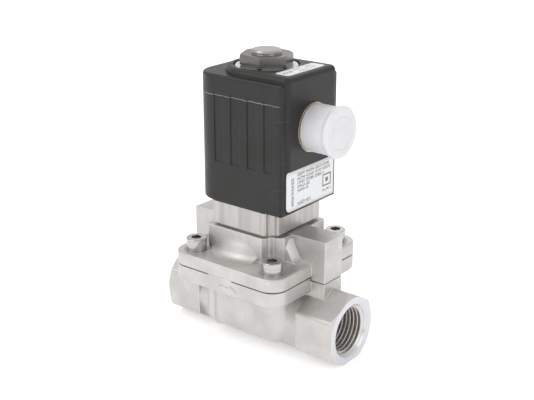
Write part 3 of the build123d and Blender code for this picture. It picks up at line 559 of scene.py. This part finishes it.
def makeCap():
    look = capLook
    low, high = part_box("protective_cap")
    centre = (low[0], (low[1] + high[1]) / 2, (low[2] + high[2]) / 2)
    length, reach = high[0] - low[0], (high[1] - low[1]) / 2
    side = reach - look["step"]
    bore = side - look["wall"]
    flange = length - look["flange"]
    ringIn, ringOut = look["ring"], look["ring"] + look["ringWidth"]
    ringFloor = length - look["ringDepth"]
    neck = side - look["neck"]
    corners = [(0, length, 0), (ringIn, length, look["ringEdge"]),
               (ringIn + look["ringSlope"], ringFloor, look["ringFoot"]),
               (ringOut - look["ringSlope"], ringFloor, look["ringFoot"]),
               (ringOut, length, look["ringEdge"]),
               (reach, length, look["rolled"]), (reach, flange, look["rolled"]),
               (neck, flange - look["neckTop"], look["underFlange"]),
               (neck, flange - look["neckLow"], look["neckRound"]),
               (side, flange - look["neckFoot"], look["neckRound"]),
               (side, 0, look["lip"]), (bore, 0, look["lip"]),
               (bore, length - look["end"], look["innerRound"]), (0, length - look["end"], 0)]
    cap = turnedPiece("cap_skin", corners, centre, capWhite, "cap", look["segments"])
    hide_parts("protective_cap")


makeCap()


# parting line of the coil's mould: a thin wavy ridge round the sides, which dips into the flutes; its pale
# colour is a painted highlight along the ridge
flashLook = {"height": 44.4 * mm, "proud": 0.07 * mm, "half": 0.13 * mm, "waves": 0.16 * mm,
             "fluteDepth": 0.35 * mm, "fluteFirst": -9.9 * mm, "flutePitch": 8.35 * mm,
             "fluteHalf": 2.3 * mm, "fluteSlope": 0.3 * mm, "flutes": 4, "backCorner": 9.6 * mm,
             "frontInset": 1.4 * mm, "taper": 1.5 * mm, "thinnest": 0.02, "steps": 900, "around": 8,
             "ripples": [(1370, 1.0, 0), (3110, 0.7, 1), (7030, 0.4, 2)]}


def makeMouldFlash():
    # a lens-shaped section is carried along both sides and round the back, by distance along that line
    look = flashLook
    low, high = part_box("coil_housing")
    half, corner = high[1], look["backCorner"]
    straight = high[0] - look["frontInset"] - (low[0] + corner)
    arc, back = corner * math.pi / 2, 2 * (half - corner)
    along = np.linspace(0, 2 * (straight + arc) + back, look["steps"])
    turn = np.clip((along - straight) / arc, 0, 1) + np.clip((along - straight - arc - back) / arc, 0, 1)
    turn = turn * math.pi / 2
    forward = np.clip(straight - along, 0, None) + np.clip(along - straight - 2 * arc - back, 0, None)
    travel = np.clip(along - straight - arc, 0, back)
    centreX = low[0] + corner + forward
    centreY = -half + corner + travel
    outX, outY = -np.sin(turn), -np.cos(turn)
    flute = np.zeros_like(along)
    for number in range(look["flutes"]):
        middle = look["fluteFirst"] + number * look["flutePitch"]
        inside = (look["fluteHalf"] - np.abs(centreX - middle)) / look["fluteSlope"] + 0.5
        flute = np.maximum(flute, np.clip(inside, 0, 1))
    flute = flute * (forward > 0)
    # wave = half the sum of size * sin(rate * along + shift)
    wave = sum(size * np.sin(along * rate + shift) for rate, size, shift in look["ripples"]) / 2
    fade = np.clip(np.minimum(along, along[-1] - along) / look["taper"], look["thinnest"], 1)
    around = np.linspace(0, 2 * math.pi, look["around"], endpoint=False)[:, None]
    out = corner - look["fluteDepth"] * flute + look["proud"] * (0.6 + 0.4 * wave) * fade * np.cos(around)
    lift = look["height"] + low[2] + look["waves"] * wave + look["half"] * fade * np.sin(around)
    points = np.stack([centreX + outX * out, centreY + outY * out, lift * np.ones_like(out)], -1)
    meshObject("mould_flash", points, gridFaces(*points.shape[:2], wrapRows=True, wrapColumns=False),
               flashHighlight, "coil")


makeMouldFlash()
print("cap and mould flash made")


# foil labels: the front one wraps round the coil's rounded front corners
labelLook = {"thickness": 0.12 * mm, "wrap": 2.3 * mm, "flat": 14.0 * mm, "reach": 16.1 * mm,
             "low": 1.9 * mm, "high": 18.2 * mm, "round": 1.3 * mm, "columns": 97, "rows": 9}


def makeLabel(name, points, printed, node, uv):
    rows, columns = points.shape[:2]
    label = meshObject(name, points, gridFaces(rows, columns, wrapColumns=False), printed, "coil")
    layer = label.data.uv_layers.new(name="foil")
    corners = np.empty(len(label.data.loops), int)
    label.data.loops.foreach_get("vertex_index", corners)
    places = np.empty(len(label.data.vertices) * 3)
    label.data.vertices.foreach_get("co", places)
    layer.data.foreach_set("uv", (uv(places.reshape(-1, 3))[corners] / mm).ravel())
    thick = label.modifiers.new("foil", "SOLIDIFY")
    thick.thickness = labelLook["thickness"]
    thick.offset = -1
    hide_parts(node)


def makeFrontLabel():
    # across = distance along the wrapped line; its height shrinks by a quarter circle at each end
    look = labelLook
    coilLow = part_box("coil_housing")[0]
    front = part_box("front_label")[1][0]
    across = np.linspace(-look["reach"], look["reach"], look["columns"])
    bend = np.clip(np.abs(across) - look["flat"], 0, None) / look["wrap"]
    edge = np.clip(look["round"] - (look["reach"] - np.abs(across)), 0, look["round"])
    drop = look["round"] - np.sqrt(look["round"] ** 2 - edge ** 2)
    share = np.linspace(0, 1, look["rows"])[:, None]
    low, high = coilLow[2] + look["low"] + drop, coilLow[2] + look["high"] - drop
    height = low + share * (high - low)
    x = front - look["wrap"] + look["wrap"] * np.cos(bend)
    y = np.sign(across) * (np.minimum(np.abs(across), look["flat"]) + look["wrap"] * np.sin(bend))
    points = np.stack([x * np.ones_like(height), y * np.ones_like(height), height], -1)

    def uv(places):
        turned = np.arctan2(np.abs(places[:, 1]) - look["flat"], places[:, 0] - (front - look["wrap"]))
        wrapped = look["flat"] + look["wrap"] * np.clip(turned, 0, None)
        beyond = np.where(np.abs(places[:, 1]) > look["flat"], wrapped, np.abs(places[:, 1]))
        return np.stack([np.sign(places[:, 1]) * beyond, places[:, 2] - coilLow[2] - look["low"]], -1)

    makeLabel("front_foil", points, frontPrint, "front_label", uv)


def makeTopLabel():
    # a flat foil whose ends are rounded by the same quarter circles
    look = labelLook
    low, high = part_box("top_label")
    across = np.linspace(low[1], high[1], look["columns"])
    edge = np.clip(look["round"] - np.minimum(across - low[1], high[1] - across), 0, look["round"])
    drop = look["round"] - np.sqrt(look["round"] ** 2 - edge ** 2)
    share = np.linspace(0, 1, look["rows"])[:, None]
    x = low[0] + drop + share * (high[0] - low[0] - 2 * drop)
    points = np.stack([x, across * np.ones_like(x), np.full_like(x, high[2])], -1)
    makeLabel("top_foil", points, topPrint, "top_label",
              lambda places: np.stack([places[:, 1], high[0] - places[:, 0]], -1))


makeFrontLabel()
makeTopLabel()
print("labels made")


# both springs are wound from round wire over the length of their parts
springLook = {"piston_spring": {"name": "main_spring", "joint": "piston_lift",
                                "wire": 1.0 * mm, "turns": 4},
              "armature_spring": {"name": "plunger_spring", "joint": "armature_lift",
                                  "wire": 0.45 * mm, "turns": 8},
              "closedTurns": 0.75, "rowsPerTurn": 40, "around": 12}


def makeSpring(node):
    # a round wire follows a helix whose pitch is one wire at each end and even in between
    look = springLook[node]
    low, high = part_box(node)
    wire, closed = look["wire"], springLook["closedTurns"]
    radius = (high[0] - low[0] - wire) / 2
    turns = look["turns"] + 2 * closed
    turn = np.linspace(0, turns, int(turns * springLook["rowsPerTurn"]))
    pitch = (high[2] - low[2] - wire - 2 * closed * wire) / look["turns"]
    climb = (wire * np.clip(turn, 0, closed) + pitch * np.clip(turn - closed, 0, look["turns"])
             + wire * np.clip(turn - closed - look["turns"], 0, closed))
    angle = 2 * math.pi * turn[:, None]
    around = np.linspace(0, 2 * math.pi, springLook["around"], endpoint=False)
    size = np.full((len(turn), 1), wire / 2)
    size[[0, -1]] = 0
    away = radius + size * np.cos(around)
    points = np.stack([(low[0] + high[0]) / 2 + away * np.cos(angle),
                       (low[1] + high[1]) / 2 + away * np.sin(angle),
                       low[2] + wire / 2 + climb[:, None] + size * np.sin(around)], -1)
    spring = meshObject(look["name"], points, gridFaces(*points.shape[:2]), metals["springSteel"], "valve")
    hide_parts(node)
    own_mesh(spring)


makeSpring("piston_spring")
makeSpring("armature_spring")
print("springs wound")


# raised flow arrows on both long sides of the body's flange
arrowLook = {"length": 9.0 * mm, "shaft": 0.95 * mm, "head": 1.9 * mm, "headLength": 3.4 * mm,
             "proud": 0.35 * mm, "slope": 0.22 * mm, "middle": 3.4 * mm, "sunk": 0.4 * mm, "steps": 6,
             "waistShare": 0.25, "flatShare": 0.3, "wallShare": 0.6, "flangeFoot": 27.9 * mm}


def makeFlowArrow(name, side):
    # the arrow's outline is shrunk towards its waist, row by row, from inside the wall up to its flat face
    look = arrowLook
    tip, neck = look["length"] / 2, look["length"] / 2 - look["headLength"]
    outline = np.array([(tip, 0), (neck, look["head"]), (neck, look["shaft"]), (-tip, look["shaft"]),
                        (-tip, -look["shaft"]), (neck, -look["shaft"]), (neck, -look["head"])])
    sides = np.linspace(0, 1, look["steps"], endpoint=False)[:, None]
    outline = (outline[:, None] * (1 - sides) + np.roll(outline, -1, 0)[:, None] * sides).reshape(-1, 2)
    waist = np.array([neck + look["waistShare"] * look["headLength"], 0])
    away = outline - waist
    size = np.linalg.norm(away, axis=1, keepdims=True)
    inner = waist + away * (1 - look["slope"] / size)
    flat = waist + away * look["flatShare"]
    rings = np.stack([outline, outline, inner, flat, np.tile(waist, (len(outline), 1))])
    proud = np.array([-look["sunk"], look["proud"] * look["wallShare"]] + [look["proud"]] * 3)[:, None]
    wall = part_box("valve_body")[1][1]
    height = (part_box("cover")[0][2] + look["flangeFoot"]) / 2
    points = np.stack([look["middle"] + rings[..., 0], side * (wall + proud) * np.ones(len(outline)),
                       height + rings[..., 1]], -1)
    meshObject(name, points, gridFaces(*points.shape[:2]), castBodySteel, "valve", smooth=False)


makeFlowArrow("flow_arrow_front", -1)
makeFlowArrow("flow_arrow_back", 1)
print("flow arrows made")


def makeCamera():
    look = {"azimuth": 38.313, "elevation": 20.1, "roll": 0.04, "distance": 426.07 * mm, "lens": 68.77,
            "aimHeight": 53.5 * mm, "shiftRight": 0.162 * mm, "shiftUp": 6.241 * mm}
    turn, tilt, roll = (math.radians(look[key]) for key in ("azimuth", "elevation", "roll"))
    back = Vector((math.sin(turn) * math.cos(tilt), -math.cos(turn) * math.cos(tilt), math.sin(tilt)))
    right = Vector((math.cos(turn), math.sin(turn), 0))
    up = back.cross(right)
    level, upright = right, up
    right = level * math.cos(roll) + upright * math.sin(roll)
    up = upright * math.cos(roll) - level * math.sin(roll)
    data = bpy.data.cameras.new("camera")
    data.lens = look["lens"]
    data.sensor_width = 36
    data.clip_start = 0.01
    camera = bpy.data.objects.new("camera", data)
    scene.collection.objects.link(camera)
    target = Vector((0, 0, look["aimHeight"])) + right * look["shiftRight"] + up * look["shiftUp"]
    turnMatrix = Matrix((right, up, back)).transposed().to_4x4()
    camera.matrix_world = Matrix.Translation(target + back * look["distance"]) @ turnMatrix
    scene.camera = camera


lights = {"keyLight": {"place": (-0.35, -0.55, 0.75), "size": (0.7, 0.7), "power": 2.4},
          "sideLight": {"place": (0.75, -0.15, 0.45), "size": (0.5, 0.8), "power": 0.9},
          "backLight": {"place": (-0.3, 0.8, 0.7), "size": (0.8, 0.6), "power": 0.9}}
lightAim = (0, 0, 0.06)


def makeSoftbox(name):
    look = lights[name]
    data = bpy.data.lights.new(name, "AREA")
    data.shape = "RECTANGLE"
    data.size, data.size_y = look["size"]
    data.energy = look["power"]
    lamp = bpy.data.objects.new(name, data)
    scene.collection.objects.link(lamp)
    lamp.location = look["place"]
    lamp.rotation_euler = (Vector(lightAim) - Vector(look["place"])).to_track_quat("-Z", "Y").to_euler()


def makeWorld(strength):
    # a white tent, a little darker near the ground so that upright faces differ from flat ones
    world = bpy.data.worlds.new("tent")
    world.use_nodes = True
    tree = world.node_tree
    tree.nodes.clear()
    output = tree.nodes.new("ShaderNodeOutputWorld")
    background = tree.nodes.new("ShaderNodeBackground")
    place = tree.nodes.new("ShaderNodeTexCoord").outputs["Generated"]
    height = splitPlace(tree, place)[2]
    shade = remap(tree, height, -0.3, 0.75, 0.72, 1.05)
    combined = tree.nodes.new("ShaderNodeCombineColor")
    for socket, factor in zip(combined.inputs, (1.0, 0.995, 0.985)):
        tree.links.new(calculate(tree, "MULTIPLY", shade, factor), socket)
    tree.links.new(combined.outputs[0], background.inputs["Color"])
    background.inputs["Strength"].default_value = strength
    tree.links.new(background.outputs[0], output.inputs["Surface"])
    scene.world = world


def makeFloor():
    # a wide round floor: rings of growing radius about the origin, just under the valve
    look = {"radius": 6.0, "rings": 24, "spokes": 96, "height": -0.05 * mm}
    radius = look["radius"] * np.linspace(0, 1, look["rings"])[:, None] ** 2
    angle = np.linspace(0, 2 * math.pi, look["spokes"], endpoint=False)
    points = np.stack([radius * np.cos(angle), radius * np.sin(angle),
                       np.full((look["rings"], look["spokes"]), look["height"])], -1)
    mesh = bpy.data.meshes.new("floor")
    mesh.from_pydata(points.reshape(-1, 3).tolist(), [], gridFaces(look["rings"], look["spokes"]).tolist())
    floor = bpy.data.objects.new("floor", mesh)
    scene.collection.objects.link(floor)
    material, tree, shader = newMaterial("floorPaper")
    place = objectPlace(tree)
    tone = mixColour(tree, noiseValue(tree, place, 30.0, 3.0, 0.6), grey(0.93), grey(0.95))
    tree.links.new(tone, shader.inputs["Base Color"])
    shader.inputs["Roughness"].default_value = 0.9
    shader.inputs["Specular IOR Level"].default_value = 0.1
    shader.inputs["Emission Color"].default_value = (1, 1, 1, 1)
    shader.inputs["Emission Strength"].default_value = 0.3
    floor.data.materials.append(material)


makeCamera()
makeWorld(0.85)
for lightName in lights:
    makeSoftbox(lightName)
makeFloor()
scene.view_settings.view_transform = "Standard"
print("stage ready")


# each node of the frame takes its finish
finishes = [
    (castBodySteel, ["valve_body"]),
    (castSteel, ["cover"]),
    (metals["milledSteel"], ["piston", "seal_retainer", "pilot_seat", "pilot_block", "guide_tube"]),
    (metals["brightSteel"], ["cover_screws", "screw_washers", "seal_screw", "block_screws",
                             "connector_shell"]),
    (metals["magnetSteel"], ["stopper", "armature", "magnet_frame"]),
    (metals["springSteel"], ["piston_spring", "armature_spring"]),
    (metals["enamelledCopper"], ["shading_ring", "coil_winding"]),
    (metals["turnedBrass"], ["feed_jet"]),
    (metals["washerSteel"], ["top_washer"]),
    (metals["nutSteel"], ["coil_nut"]),
    (metals["collarMetal"], ["connector_collar"]),
    (metals["platedContact"], ["contact_pins"]),
    (sealRubber, ["cover_seal", "channel_seals", "piston_seat_seal", "tube_seal", "armature_seal",
                  "coil_gasket", "nut_seal"]),
    (bearingWhite, ["piston_ring", "front_label", "top_label"]),
    (coilBlack, ["coil_housing"]),
    (bobbinNylon, ["coil_bobbin"]),
    (insertGrey, ["connector_insert"]),
    (capWhite, ["protective_cap"]),
]
for material, nodeNames in finishes:
    for nodeName in nodeNames:
        mesh = nodes[nodeName].data
        if not mesh.materials:
            mesh.materials.append(material)
        for index in range(len(mesh.materials)):
            mesh.materials[index] = material
print("finishes on", sum(len(nodeNames) for material, nodeNames in finishes), "nodes")
